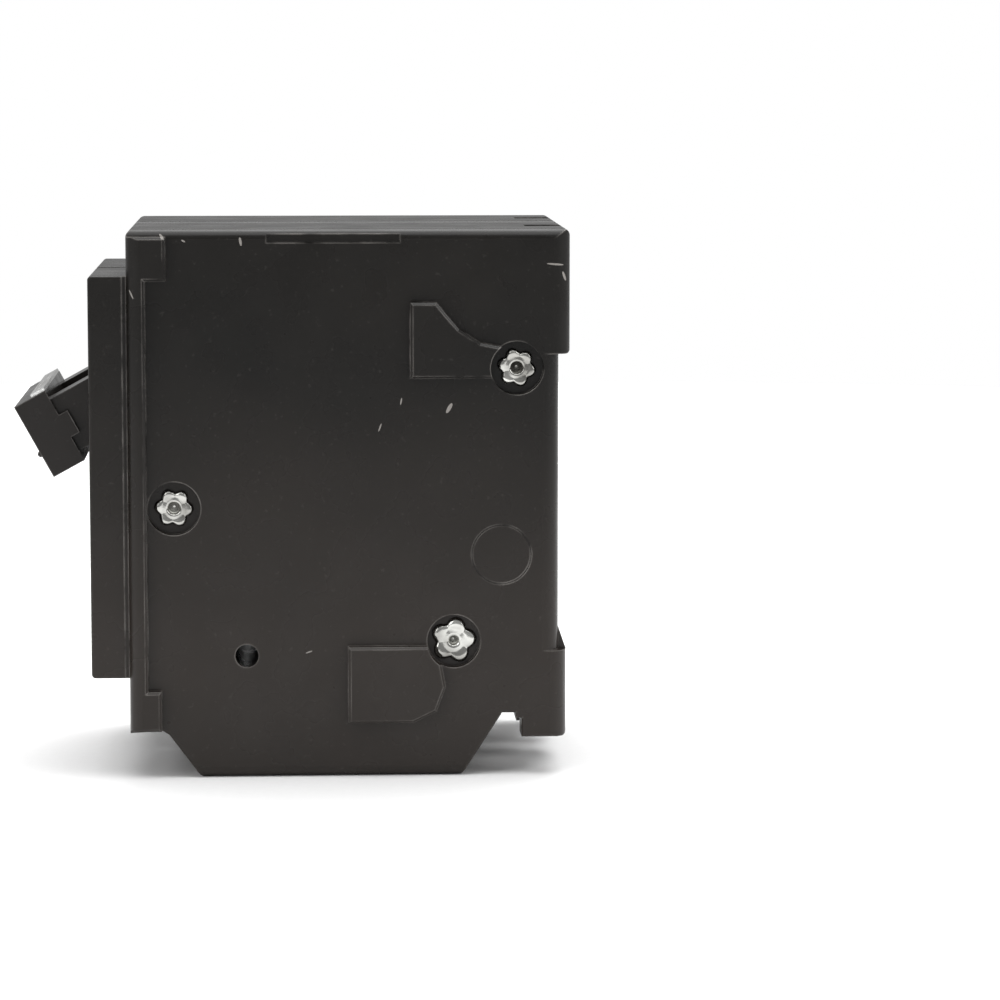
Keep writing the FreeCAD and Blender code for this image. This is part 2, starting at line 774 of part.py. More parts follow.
def lug_cage(label):
    shell = box(label + "_shell", (-20.4, -10.0), (-4.4, 4.4), (8.5, 14.5))
    room = box(label + "_room", (-18.4, -11.4), (-3.4, 3.4), (8.4, 14.6))
    tapped = rod(label + "_tapped", "X", (0, s.lug_z), s.lug_screw + s.run_gap, -20.5, -18.3)
    return cut(label, shell, room, tapped)


def lug_screw(label):
    head = rod(label + "_head", "X", (0, s.lug_z), 2.7, -27.6, -25.3)
    shank = rod(label + "_shank", "X", (0, s.lug_z), s.lug_screw, -25.4, -17.9)
    slot = box(label + "_slot", (-27.7, -26.6), (-3, 3), (s.lug_z - 0.45, s.lug_z + 0.45))
    return cut(label, fuse(label + "_form", head, shank), slot)


def calibration_screw(label):
    head = rod(label + "_head", "Z", (9.4, 0), 1.5, 0.3, 1.0)
    shank = rod(label + "_shank", "Z", (9.4, 0), 0.9, 0.9, 6.4)
    slot = box(label + "_slot", (7.8, 11.0), (-0.2, 0.2), (0.2, 0.6))
    return cut(label, fuse(label + "_form", head, shank), slot)


for pole, y in (("a", -s.pole_pitch / 2), ("b", s.pole_pitch / 2)):
    build_pole(pole, y)

# ---- pieces shared by both poles ---------------------------------------------------------

# tie bar over the two levers, and the steel strip on its rear top edge
reach = s.lever_reach
tie_in = reach - 3.4
tie_out = tie_in + s.tie_thick
tie = box("handle_tie_block", (-tie_out, -tie_in), (-s.tie_long / 2, s.tie_long / 2),
          (-s.tie_tall / 2, s.tie_tall / 2))
end = s.tie_long / 2
tabs = [box("handle_tie_tab%d" % i, (-tie_in - 0.5, -tie_in + 1.4), y, (-1.9, 1.7))
        for i, y in enumerate(((-end, 0.8 - end), (end - 0.8, end)))]
nub = rod("handle_tie_nub", "Y", (-tie_out, -1.94), 0.45, 0.3 - end, 1.3 - end)
pockets = []
for name, y in (("a", -s.pole_pitch / 2), ("b", s.pole_pitch / 2)):
    wide = s.lever_wide / 2
    pockets.append(box("handle_tie_pocket_" + name, (-reach, -tie_in + 0.1),
                       (y - wide, y + wide), (-4.2, 4.2)))
keep(cut("handle_tie", fuse("handle_tie_bar", tie, nub, *tabs), *pockets), s.handle_x, 0, s.handle_z, -s.handle_rest)
strip = box("tie_strip_bar", (-tie_in - 2.2, -tie_in), (0.5 - s.tie_long / 2, s.tie_long / 2 - 0.5),
            (s.tie_tall / 2, s.tie_tall / 2 + 0.45))
strip.Label = "tie_strip_form"
keep(group("tie_strip", strip), s.handle_x, 0, s.handle_z, -s.handle_rest)

# three tubular rivets with rolled ends
end = s.pole_pitch / 2 + half - s.recess_deep
rivets = []
for i, (x, z) in enumerate(RIVETS):
    shank = rod("rivet_shank%d" % i, "Y", (x, z), s.rivet_shank, -end - 0.3, end + 0.3)
    heads = [rod("rivet_head%d_0" % i, "Y", (x, z), s.rivet_head, -end - 0.9, -end),
             rod("rivet_head%d_1" % i, "Y", (x, z), s.rivet_head, end, end + 0.9)]
    rivets.append(fuse("rivet%d" % i, shank, *heads))
keep(group("rivets", *rivets))

# common trip bar: a shaft with two fingers per pole
bar_end = s.pole_pitch / 2 + inner + 0.2
bar = body_named("trip_bar")
pad(bar, "XZ", -bar_end, bar_end, ("ring", s.trip_x, s.trip_z, s.trip_shaft))
finger = [(s.trip_x - 0.9, s.trip_z - 0.6), (s.trip_x + 0.6, s.trip_z + 0.9), (2.3, 25.2),
          (2.1, 28.6), (0.6, 28.6), (0.6, 24.8)]
for y in (-s.pole_pitch / 2, s.pole_pitch / 2):
    pad(bar, "XZ", y + 5.0, y + 6.6, finger)
fork_y = s.pole_pitch / 2 + inner - 3.5
fork = [(s.trip_x - 0.7, s.trip_z), (s.trip_x + 0.9, s.trip_z), (s.trip_x + 0.9, 29.0),
        (s.trip_x - 0.7, 29.0)]
pad(bar, "XZ", fork_y - 1.4, fork_y + 1.4, fork)
pocket(bar, "YZ", s.trip_x - 1.0, s.trip_x + 1.2,
       rectangle(fork_y - 0.8, fork_y + 0.8, 26.6, 29.2))
keep(bar)

# ---- ground-fault pieces in pole b -------------------------------------------------------

centre = s.pole_pitch / 2
back = centre + inner - 1.9
board = box("circuit_board_form", (-7.0, 24.0), (back, back + 1.2), (33.5, 50.0))
keep(group("circuit_board", board))
chip = box("board_chip", (3.0, 11.0), (back - 1.5, back), (36.0, 41.0))
disc = rod("board_disc", "Y", (17.0, 45.0), 3.2, back - 2.4, back)
cans = [rod("board_can%d" % i, "Y", (-3.6 + 4.2 * i, 46.0), 1.7, back - 2.2, back)
        for i in range(3)]
rests = [box("board_rest%d" % i, (14.0 + 2.6 * i, 15.4 + 2.6 * i),
             (back - 1.1, back), (36.0, 39.6)) for i in range(3)]
keep(group("board_parts", chip, disc, *cans, *rests))

ring_z = s.wall + 5.2
ring_out = rod("sensing_ring_out", "X", (centre, ring_z), 4.9, -2.6, 1.9)
ring_in = rod("sensing_ring_in", "X", (centre, ring_z), 3.1, -2.7, 2.0)
keep(cut("sensing_coil", ring_out, ring_in))

axis_y = centre + inner - 3.5
axis_z = 28.0
coil = rod("solenoid_coil_out", "X", (axis_y, axis_z), 3.1, 17.2, 27.0)
flanges = [rod("solenoid_flange%d" % i, "X", (axis_y, axis_z), 3.4, x, x + 0.8)
           for i, x in enumerate((16.8, 26.6))]
hole = rod("solenoid_bore", "X", (axis_y, axis_z), 1.4, 16.7, 27.5)
keep(cut("trip_solenoid", fuse("solenoid_form", coil, *flanges), hole))

shell = box("solenoid_shell", (16.0, 28.2), (axis_y - 3.5, axis_y + 3.5), (23.8, 31.6))
gap = box("solenoid_gap", (16.8, 27.4), (axis_y - 3.6, axis_y + 3.6), (24.6, 31.7))
way_in = rod("solenoid_way", "X", (axis_y, axis_z), 1.4, 15.9, 16.9)
keep(cut("solenoid_frame", shell, gap, way_in))

core = rod("plunger_core", "X", (axis_y, axis_z), 1.35, 15.6, 25.0)
stem = rod("plunger_stem", "X", (axis_y, axis_z), 0.6, s.trip_x - 1.6, 15.7)
head = rod("plunger_head", "X", (axis_y, axis_z), 1.25, s.trip_x - 1.8, s.trip_x - 1.0)
keep(fuse("solenoid_plunger", core, stem, head))

face = s.front_face
seat = face + s.wall + 0.3
cap = rod("button_cap", "X", (centre, s.button_z), s.button, face + 0.1, seat + 0.3)
brim = rod("button_brim", "X", (centre, s.button_z), s.button + 0.8, seat, seat + 0.9)
stem = rod("button_stem", "X", (centre, s.button_z), 1.2, seat + 0.8, face + 6.8)
keep(fuse("test_button", cap, brim, stem))
outer_coil = rod("test_spring_out", "X", (centre, s.button_z), 2.0, seat + 0.95, face + 8.6)
inner_coil = rod("test_spring_in", "X", (centre, s.button_z), 1.5, seat + 0.9, face + 8.7)
keep(cut("test_spring", outer_coil, inner_coil))
leaf = box("test_leaf_form", (face + 8.65, face + 9.25), (centre - inner, centre + 2.2), (23.5, 30.0))
keep(group("test_leaf", leaf))

# ---- checks and export -------------------------------------------------------------------

doc.recompute()
faults = [o.Name for o in doc.Objects if {"Invalid", "Error"} & set(o.State)]
assert not faults, "objects in error: " + ", ".join(faults)
for name, part in nodes.items():
    shape = part.Shape
    assert not shape.isNull() and shape.isValid(), "bad shape: " + name
    part.Shape.exportStep("parts/%s.step" % name)
print(len(nodes), "nodes")
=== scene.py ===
import math

import bmesh
import bpy
import numpy as np
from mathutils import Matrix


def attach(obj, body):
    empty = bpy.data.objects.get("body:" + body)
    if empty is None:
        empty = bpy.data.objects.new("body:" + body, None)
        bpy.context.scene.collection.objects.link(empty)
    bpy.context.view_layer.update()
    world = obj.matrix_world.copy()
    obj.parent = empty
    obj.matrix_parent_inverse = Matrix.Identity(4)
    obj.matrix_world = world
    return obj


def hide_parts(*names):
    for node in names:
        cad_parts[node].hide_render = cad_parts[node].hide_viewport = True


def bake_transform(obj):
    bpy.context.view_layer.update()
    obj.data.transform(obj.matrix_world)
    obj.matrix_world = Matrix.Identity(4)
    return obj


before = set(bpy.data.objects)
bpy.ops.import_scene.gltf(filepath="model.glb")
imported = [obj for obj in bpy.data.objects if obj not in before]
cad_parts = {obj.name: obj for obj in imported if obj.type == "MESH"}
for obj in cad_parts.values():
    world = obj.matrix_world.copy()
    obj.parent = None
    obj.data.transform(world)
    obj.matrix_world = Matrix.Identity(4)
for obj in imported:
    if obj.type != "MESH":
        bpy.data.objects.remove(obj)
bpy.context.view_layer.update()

# ---- The moulded case ----------------------------------------------------------------------
# Each pole is two halves pressed from a black-brown thermoset, closed on each other by rivets.
# The skin is a little glossy and faintly mottled, and is painted lighter towards the bottom as
# light thrown up from the floor. The arrises are pale, partly rubbed by handling and partly a
# painted edge highlight, and the flat sides carry a few short scratches.


def start_material(name):
    """A named node material: gives the material, a maker of nodes, its links and its shader."""
    material = bpy.data.materials.new(name)
    material.use_nodes = True
    tree = material.node_tree

    def make(kind, **values):
        node = tree.nodes.new("ShaderNode" + kind)
        for key, value in values.items():
            if key in node.inputs:
                node.inputs[key].default_value = value
            else:
                setattr(node, key, value)
        return node

    return material, make, tree.links, tree.nodes["Principled BSDF"]


def mottle(make, links, place, scale, low, high, detail=3.0, stretch=None):
    """Noise at so many cells per metre, cut to 0..1 between the low and high noise values."""
    if stretch:
        turn = make("Mapping")
        turn.inputs["Scale"].default_value = stretch
        links.new(place, turn.inputs["Vector"])
        place = turn.outputs["Vector"]
    noise = make("TexNoise", Scale=scale, Detail=detail)
    links.new(place, noise.inputs["Vector"])
    spread = make("MapRange")
    spread.inputs["From Min"].default_value = low
    spread.inputs["From Max"].default_value = high
    links.new(noise.outputs["Fac"], spread.inputs["Value"])
    return spread.outputs["Result"]


def blend_colour(make, links, factor, first, second):
    """Mix of two colours or colour outputs by a factor output."""
    mix = make("Mix", data_type="RGBA")
    links.new(factor, mix.inputs["Factor"])
    for socket, colour in ((mix.inputs[6], first), (mix.inputs[7], second)):
        if isinstance(colour, tuple):
            socket.default_value = colour + (1.0,)
        else:
            links.new(colour, socket)
    return mix.outputs[2]


def times(make, links, first, second, kind="MULTIPLY"):
    """Two values joined by a math node."""
    node = make("Math", operation=kind)
    for socket, value in zip(node.inputs, (first, second)):
        if isinstance(value, (int, float)):
            socket.default_value = value
        else:
            links.new(value, socket)
    return node.outputs["Value"]


def rubbed_and_highlit_edges(make, links, radius):
    """0 on flats, rising to 1 where a rounded normal leaves the true one at an arris."""
    soft = make("Bevel", samples=6)
    soft.inputs["Radius"].default_value = radius
    true = make("NewGeometry")
    dot = make("VectorMath", operation="DOT_PRODUCT")
    links.new(soft.outputs["Normal"], dot.inputs[0])
    links.new(true.outputs["Normal"], dot.inputs[1])
    mask = make("MapRange")
    mask.inputs["From Min"].default_value = 0.995
    mask.inputs["From Max"].default_value = 0.90
    links.new(dot.outputs["Value"], mask.inputs["Value"])
    return mask.outputs["Result"]


def near_value(make, links, value, places, half_width):
    """1 where the value lies within the half width of any of the places, else 0."""
    whole = None
    for spot in places:
        off = times(make, links, times(make, links, value, spot, "SUBTRACT"), 0.0, "ABSOLUTE")
        hit = times(make, links, off, half_width, "LESS_THAN")
        whole = hit if whole is None else times(make, links, whole, hit, "MAXIMUM")
    return whole


def nick_marks(make, links, place, nicks):
    """1 inside each small ellipse (x, z, half length, half width, slope in degrees) on X and Z."""
    whole = None
    for x, z, long, wide, slope in nicks:
        turn = make("Mapping", vector_type="TEXTURE")
        turn.inputs["Location"].default_value = (x, 0.0, z)
        turn.inputs["Rotation"].default_value = (0, math.radians(-slope), 0)
        turn.inputs["Scale"].default_value = (long, 1.0e6, wide)
        links.new(place, turn.inputs["Vector"])
        far = make("VectorMath", operation="LENGTH")
        links.new(turn.outputs["Vector"], far.inputs[0])
        hit = times(make, links, far.outputs["Value"], 1.0, "LESS_THAN")
        whole = hit if whole is None else times(make, links, whole, hit, "MAXIMUM")
    return whole


def thermoset(name, dark, floor_lit_and_mottle_colour, pale, rough, nicks=(), jointed=False):
    """Moulded phenolic: a dark colour, painted lighter and browner towards the load end at the
    bottom as light thrown up from the floor, and mottled at random; pale arrises, partly rubbed
    wear and partly a painted edge highlight; a few short scratches, and a fine skin. A jointed
    one also has pale lines on its rear face where its halves meet and where its rear corners
    start to turn, partly worn seams and partly a painted highlight."""
    material, make, links, shader = start_material(name)
    place = make("TexCoord").outputs["Object"]
    split = make("SeparateXYZ")
    links.new(place, split.inputs["Vector"])
    # Painted floor light: from 58 mm down to 20 mm high the lighter, browner colour is mixed in, up
    # to 0.8.
    painted_floor_light = make("MapRange")
    for word, value in (("From Min", 0.020), ("From Max", 0.058), ("To Min", 0.8), ("To Max", 0.0)):
        painted_floor_light.inputs[word].default_value = value
    links.new(split.outputs["Z"], painted_floor_light.inputs["Value"])
    cloud = times(make, links, mottle(make, links, place, 48.0, 0.30, 0.75), 0.25)
    lower = times(make, links, painted_floor_light.outputs["Result"], cloud, "ADD")
    colour = blend_colour(make, links, lower, dark, floor_lit_and_mottle_colour)
    speck = mottle(make, links, place, 1500.0, 0.66, 0.76, 2.0)
    hair = mottle(make, links, place, 420.0, 0.71, 0.74, 2.0, (0.06, 1.0, 1.4))
    where = mottle(make, links, place, 60.0, 0.62, 0.68)
    scratch = times(make, links, hair, where)
    # Pale arrises: partly rubbed wear, partly a painted edge highlight.
    edge = rubbed_and_highlit_edges(make, links, 0.00032)
    chip = mottle(make, links, place, 260.0, 0.34, 0.62)
    marks = times(make, links, times(make, links, edge, chip), 0.62)
    marks = times(make, links, marks, times(make, links, scratch, 0.35), "MAXIMUM")
    marks = times(make, links, marks, times(make, links, speck, 0.05), "MAXIMUM")
    if nicks:
        marks = times(make, links, marks, nick_marks(make, links, place, nicks), "MAXIMUM")
    if jointed:
        # Pale lines on the rear face at the parting lines and where the corners start to turn: partly
        # worn seams, partly a painted highlight.
        facing = make("SeparateXYZ")
        links.new(make("TexCoord").outputs["Normal"], facing.inputs["Vector"])
        rear = times(make, links, facing.outputs["X"], 0.9, "GREATER_THAN")
        corner = near_value(make, links, split.outputs["Y"],
                            [-0.02145, -0.00395, 0.00395, 0.02145], 0.00008)
        parted = near_value(make, links, split.outputs["Y"], [-0.0110, 0.0144], 0.00007)
        lapped = near_value(make, links, split.outputs["Y"], [-0.0096, 0.0158], 0.00007)
        hook = times(make, links, split.outputs["Z"], 0.0179, "LESS_THAN")
        both = make("Mix", data_type="FLOAT")
        for socket, value in ((both.inputs[0], hook), (both.inputs[2], parted),
                              (both.inputs[3], lapped)):
            links.new(value, socket)
        broken = mottle(make, links, place, 700.0, 0.25, 0.60)
        drawn = times(make, links, times(make, links, corner, both.outputs[0], "MAXIMUM"), rear)
        drawn = times(make, links, times(make, links, drawn, broken), 0.55)
        marks = times(make, links, marks, drawn, "MAXIMUM")
    links.new(blend_colour(make, links, marks, colour, pale), shader.inputs["Base Color"])
    gloss = make("MapRange")
    gloss.inputs["To Min"].default_value = rough - 0.05
    gloss.inputs["To Max"].default_value = rough + 0.08
    links.new(mottle(make, links, place, 130.0, 0.3, 0.7), gloss.inputs["Value"])
    links.new(gloss.outputs["Result"], shader.inputs["Roughness"])
    grain = make("TexNoise", Scale=2600.0, Detail=3.0)
    links.new(place, grain.inputs["Vector"])
    swell = make("TexNoise", Scale=90.0, Detail=1.0)
    links.new(place, swell.inputs["Vector"])
    height = times(make, links, times(make, links, grain.outputs["Fac"], 0.10),
                   times(make, links, swell.outputs["Fac"], 0.9), "ADD")
    height = times(make, links, height, times(make, links, marks, 0.3), "SUBTRACT")
    bump = make("Bump", Strength=0.25, Distance=0.0001)
    links.new(height, bump.inputs["Height"])
    links.new(bump.outputs["Normal"], shader.inputs["Normal"])
    shader.inputs["Specular IOR Level"].default_value = 0.22
    return material


def finish_nodes(material, *names):
    """Give the CAD nodes of these names the material in every slot."""
    for name in names:
        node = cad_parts[name]
        node.data.materials.clear()
        node.data.materials.append(material)


POLES = {"a": -0.0127, "b": 0.0127}
# The second case colour is painted floor light, mixed in towards the bottom; the third is the pale of
# worn arrises and painted highlights.
CASE_COLOURS = ((0.0062, 0.0058, 0.0052), (0.0230, 0.0188, 0.0160), (0.24, 0.225, 0.21), 0.27)
case_black = thermoset("case_thermoset", *CASE_COLOURS, jointed=True)
finish_nodes(case_black, "cover_a", "base_b", "cover_b")
knocks = [(-0.0235, 0.0770, 0.0005, 0.00016, -50), (-0.0205, 0.0764, 0.0003, 0.00012, -30),
          (-0.0125, 0.0763, 0.0006, 0.00018, -80), (-0.0278, 0.0690, 0.0007, 0.0001, -65),
          (0.0318, 0.0730, 0.0012, 0.00013, -5), (0.0331, 0.0713, 0.0007, 0.00017, -70),
          (0.0100, 0.0537, 0.0005, 0.0001, 80), (0.0168, 0.0527, 0.0008, 0.00026, 60),
          (0.0070, 0.0500, 0.0006, 0.0001, 70), (-0.0032, 0.0180, 0.0005, 0.0001, 20)]
knocked = thermoset("case_thermoset_knocked", *CASE_COLOURS, nicks=knocks, jointed=True)
finish_nodes(knocked, "base_a")

# ---- Handles and their tie -----------------------------------------------------------------
# Two toggles and the bar over them are moulded from a smoother black thermoplastic. The bar is
# pressed over both levers, and a bright steel strip lies along its upper rear edge.

handle_black = thermoset("handle_plastic", (0.014, 0.0125, 0.0115), (0.020, 0.017, 0.0155),
                         (0.20, 0.19, 0.18), 0.20)
finish_nodes(handle_black, "handle_a", "handle_b", "handle_tie")


def metal(name, colour, tint, rough, drawn=(1.0, 1.0, 1.0), scale=300.0, bumpy=0.15):
    """Metal with cloudy patches of a darker second colour, which is oxide dulling on most parts and
    painted shade on the rivets, and fine lines drawn out along the axis that is scaled down.
    """
    material, make, links, shader = start_material(name)
    place = make("TexCoord").outputs["Object"]
    shader.inputs["Metallic"].default_value = 1.0
    tarnish_and_painted_shade = mottle(make, links, place, 160.0, 0.38, 0.70)
    links.new(blend_colour(make, links, tarnish_and_painted_shade, colour, tint), shader.inputs["Base Color"])
    lines = mottle(make, links, place, scale * 8.0, 0.3, 0.7, 2.0, drawn)
    gloss = make("MapRange")
    gloss.inputs["To Min"].default_value = rough * 0.7
    gloss.inputs["To Max"].default_value = rough * 1.35
    links.new(lines, gloss.inputs["Value"])
    links.new(gloss.outputs["Result"], shader.inputs["Roughness"])
    bump = make("Bump", Strength=bumpy, Distance=0.00004)
    links.new(lines, bump.inputs["Height"])
    links.new(bump.outputs["Normal"], shader.inputs["Normal"])
    return material


bright_strip = metal("bright_strip_steel", (0.80, 0.80, 0.79), (0.66, 0.65, 0.62), 0.22,
                     (1.0, 0.05, 1.0))
finish_nodes(bright_strip, "tie_strip")

# ---- Rivets --------------------------------------------------------------------------------
# Three tubular nickel-plated rivets go through both poles. Their ends are split and rolled
# outwards, so each shows a ring of round petals about a small open tube.


def unit_rows(vectors):
    """Each row divided by its own length."""
    return vectors / np.linalg.norm(vectors, axis=1)[:, None]


def surface(name, points, round_u=False, round_v=False):
    """Mesh from a grid of points P(u, v): each four neighbours make a face, a round direction
    joins its last row to its first, and the faces are turned to point outwards."""
    rows, columns = points.shape[:2]
    index = np.arange(rows * columns).reshape(rows, columns)
    if round_u:
        index = np.vstack([index, index[:1]])
    if round_v:
        index = np.hstack([index, index[:, :1]])
    quads = np.stack([index[:-1, :-1], index[1:, :-1], index[1:, 1:], index[:-1, 1:]], axis=-1)
    mesh = bpy.data.meshes.new(name)
    mesh.from_pydata(points.reshape(-1, 3).tolist(), [], quads.reshape(-1, 4).tolist())
    work = bmesh.new()
    work.from_mesh(mesh)
    bmesh.ops.remove_doubles(work, verts=work.verts, dist=1e-7)
    bmesh.ops.holes_fill(work, edges=work.edges)
    bmesh.ops.recalc_face_normals(work, faces=work.faces)
    work.to_mesh(mesh)
    work.free()
    mesh.polygons.foreach_set("use_smooth", np.ones(len(mesh.polygons), dtype=bool))
    piece = bpy.data.objects.new(name, mesh)
    bpy.context.collection.objects.link(piece)
    return piece


def joined(name, pieces):
    """One object out of several, whose meshes are already in place."""
    work = bmesh.new()
    for piece in pieces:
        work.from_mesh(piece.data)
        bpy.data.objects.remove(piece)
    mesh = bpy.data.meshes.new(name)
    work.to_mesh(mesh)
    work.free()
    piece = bpy.data.objects.new(name, mesh)
    bpy.context.collection.objects.link(piece)
    return piece


def dressed(piece, material, body, slot_name, *nodes):
    """Material, body and CAD nodes of a finished piece."""
    piece.data.materials.clear()
    piece.data.materials.append(material)
    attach(piece, body)
    if nodes:
        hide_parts(*nodes)
    return piece


def rivet_form(name, x, z, petals, reach, turn):
    """Closed surface of revolution about Y with petalled ends. Along s the profile goes from
    the bore out over the roll and down to the shank, and each ring's radius is
    tube + (reach - tube) share (1 - 0.42 cut (1 - lobe)), where
    lobe = ((1 + cos(petals * angle + turn)) / 2)^0.55, so the roll dips between petals."""
    end = 0.0225
    around = np.linspace(0, 2 * np.pi, 24 * petals, endpoint=False)
    lobe = (0.5 + 0.5 * np.cos(petals * around + turn)) ** 0.55
    # (radius share between tube and reach, height over the seat, how far the petals cut in)
    roll = np.array([
        [-0.42, -0.0016, 0.0], [-0.40, 0.00042, 0.0], [-0.30, 0.00066, 0.0],
        [-0.12, 0.00074, 0.05], [0.08, 0.00062, 0.2], [0.26, 0.00074, 0.45], [0.5, 0.00088, 0.75],
        [0.74, 0.00082, 0.95], [0.92, 0.00058, 1.0], [1.0, 0.0003, 1.0], [0.96, 0.00008, 1.0],
        [0.8, 0.0, 0.8], [0.0, 0.0, 0.0]])
    tube = 0.00138
    share = roll[:, 0][:, None]
    cut = roll[:, 2][:, None]
    radius = tube + (reach - tube) * share * (1 - 0.42 * cut * (1 - lobe[None, :]))
    radius = np.maximum(radius, 0.0006)
    height = roll[:, 1][:, None] * (1 - 0.38 * cut * (1 - lobe[None, :]))
    left_y = -(end + height)
    right_y = (end + height)[::-1]
    rings = np.vstack([left_y, right_y])
    radii = np.vstack([radius, radius[::-1]])
    points = np.stack([x + radii * np.cos(around), rings, z + radii * np.sin(around)], axis=-1)
    return surface(name, points, round_v=True)


# The rivets' dark second colour is painted shade, laid in random patches for the shade in the creases
# between the rolled petals.
nickel = metal("rivet_nickel", (0.66, 0.66, 0.63), (0.22, 0.215, 0.20), 0.20, scale=120.0, bumpy=0.4)
rivets = joined("rolled_rivets", [
    rivet_form("rivet_front", -0.02217, 0.0386, 6, 0.0028, 0.5),
    rivet_form("rivet_upper", 0.0264, 0.05835, 6, 0.0028, 1.3),
    rivet_form("rivet_lower", 0.0174, 0.0194, 5, 0.0033, -0.6)])
dressed(rivets, nickel, "case", "rivet", "rivets")

# ---- Stab jaws and their springs -----------------------------------------------------------
# The jaw is one strip of bare copper alloy bent into a fork, with lips that open to guide the
# stab. A steel clip squeezes the fingers and its upper wings bow away from them.


def strip(name, path, side, wide, thick, ease=0.25):
    """A flat strip carried along a path. At each point the section is a rounded rectangle,
    wide along the fixed side direction and thick along side x tangent."""
    path = np.asarray(path, dtype=float)
    side = np.asarray(side, dtype=float)
    side = side / np.linalg.norm(side)
    tangent = unit_rows(np.gradient(path, axis=0))
    normal = unit_rows(np.cross(side, tangent))
    angle = np.linspace(0, 2 * np.pi, 20, endpoint=False)
    corner = thick * ease
    square_u = np.sign(np.cos(angle)) * (wide / 2 - corner) + corner * np.cos(angle)
    square_v = np.sign(np.sin(angle)) * (thick / 2 - corner) + corner * np.sin(angle)
    points = (path[:, None, :] + square_u[None, :, None] * side
              + square_v[None, :, None] * normal[:, None, :])
    return surface(name, points, round_v=True)


def bend(corners, steps=10, ease=0.45):
    """Path through the corners: straight between them, with each inner corner turned by the
    quadratic curve (1-t)^2 A + 2t(1-t) C + t^2 B over a share of the shorter side."""
    corners = np.asarray(corners, dtype=float)
    t = np.linspace(0, 1, steps)[:, None]
    out = [corners[:1]]
    for before, here, after in zip(corners[:-2], corners[1:-1], corners[2:]):
        span = ease * min(np.linalg.norm(before - here), np.linalg.norm(after - here))
        a = here + (before - here) / np.linalg.norm(before - here) * span
        b = here + (after - here) / np.linalg.norm(after - here) * span
        out.append((1 - t) ** 2 * a + 2 * t * (1 - t) * here + t ** 2 * b)
    out.append(corners[-1:])
    return np.vstack(out)


jaw_copper = metal("jaw_copper", (0.93, 0.60, 0.45), (0.72, 0.36, 0.23), 0.26, (0.08, 1.0, 1.0))
clip_steel = metal("clip_steel", (0.62, 0.64, 0.66), (0.40, 0.41, 0.42), 0.30, (0.1, 1.0, 1.0))
for pole, y in POLES.items():
    low, high = 0.0671, 0.0754
    middle = (low + high) / 2
    fork = bend([(0.0324, y - 0.00205, middle), (0.0306, y - 0.0014, middle),
                 (0.0208, y - 0.0014, middle), (0.0208, y + 0.0014, middle),
                 (0.0306, y + 0.0014, middle), (0.0324, y + 0.00205, middle)], 8, 0.3)
    dressed(strip("jaw_" + pole, fork, (0, 0, 1), high - low, 0.0008), jaw_copper, "case",
            "copper", "line_jaw_" + pole)
    clip = bend([(0.0310, y - 0.00212, 0.0699), (0.0201, y - 0.00212, 0.0699),
                 (0.0201, y + 0.00212, 0.0699), (0.0310, y + 0.00212, 0.0699)], 8, 0.15)
    parts = [strip("clip_band", clip, (0, 0, 1), 0.0046, 0.0005)]
    rise = np.linspace(0, 1, 14)
    for way in (-1, 1):
        bow = np.stack([np.full(14, 0.0283), y + way * (0.0023 + 0.0014 * rise ** 1.7),
                        0.0720 + 0.0027 * rise], axis=1)
        parts.append(strip("clip_wing", bow, (1, 0, 0), 0.0052, 0.00045))
    dressed(joined("jaw_clip_" + pole, parts), clip_steel, "case", "spring_steel",
            "jaw_spring_" + pole)

# ---- Contact grease ------------------------------------------------------------------------
# A dab of amber contact grease sits in each jaw's mouth. It is wet and clear at the rim, has
# small bubbles, and has slumped a little; the two dabs aren't alike.


def dab(name, centre, size, seed):
    """Superellipsoid |x|^p + |y|^p + |z|^p = 1 with p 2.6, its radius swelled by three sines
    whose phases come from a seeded generator, and sagging towards the bottom."""
    chance = np.random.default_rng(seed)
    phases = chance.uniform(0, 2 * np.pi, (5, 2))
    u = np.linspace(-np.pi / 2, np.pi / 2, 49)[:, None]
    v = np.linspace(0, 2 * np.pi, 96, endpoint=False)[None, :]
    x = np.cos(u) * np.cos(v)
    y = np.cos(u) * np.sin(v)
    z = np.sin(u) + 0 * v
    fit = (np.abs(x) ** 2.6 + np.abs(y) ** 2.6 + np.abs(z) ** 2.6) ** (-1 / 2.6)
    lumps = sum(0.022 * np.sin((3 + i) * u + a) * np.cos((2 + i) * v + b) * np.cos(u)
                for i, (a, b) in enumerate(phases))
    fit = fit * (0.93 + lumps)
    drop = 1 - 0.16 * z
    points = np.stack([centre[0] + size[0] * fit * x, centre[1] + size[1] * fit * y * drop,
                       centre[2] + size[2] * fit * z], axis=-1)
    return surface(name, points, round_v=True)


def wet_grease(name):
    """Amber jelly: orange-amber and red-brown mottled at random, glossy with small bubbles."""
    material, make, links, shader = start_material(name)
    place = make("TexCoord").outputs["Object"]
    thick = mottle(make, links, place, 420.0, 0.36, 0.66)
    links.new(blend_colour(make, links, thick, (0.46, 0.095, 0.004), (0.20, 0.020, 0.002)),
              shader.inputs["Base Color"])
    shader.inputs["Roughness"].default_value = 0.12
    shader.inputs["Specular IOR Level"].default_value = 0.30
    shader.inputs["Coat Weight"].default_value = 0.3
    shader.inputs["Coat Roughness"].default_value = 0.05
    bubbles = make("TexVoronoi", Scale=1500.0)
    links.new(place, bubbles.inputs["Vector"])
    bump = make("Bump", Strength=0.5, Distance=0.00012)
    links.new(bubbles.outputs["Distance"], bump.inputs["Height"])
    links.new(bump.outputs["Normal"], shader.inputs["Normal"])
    return material


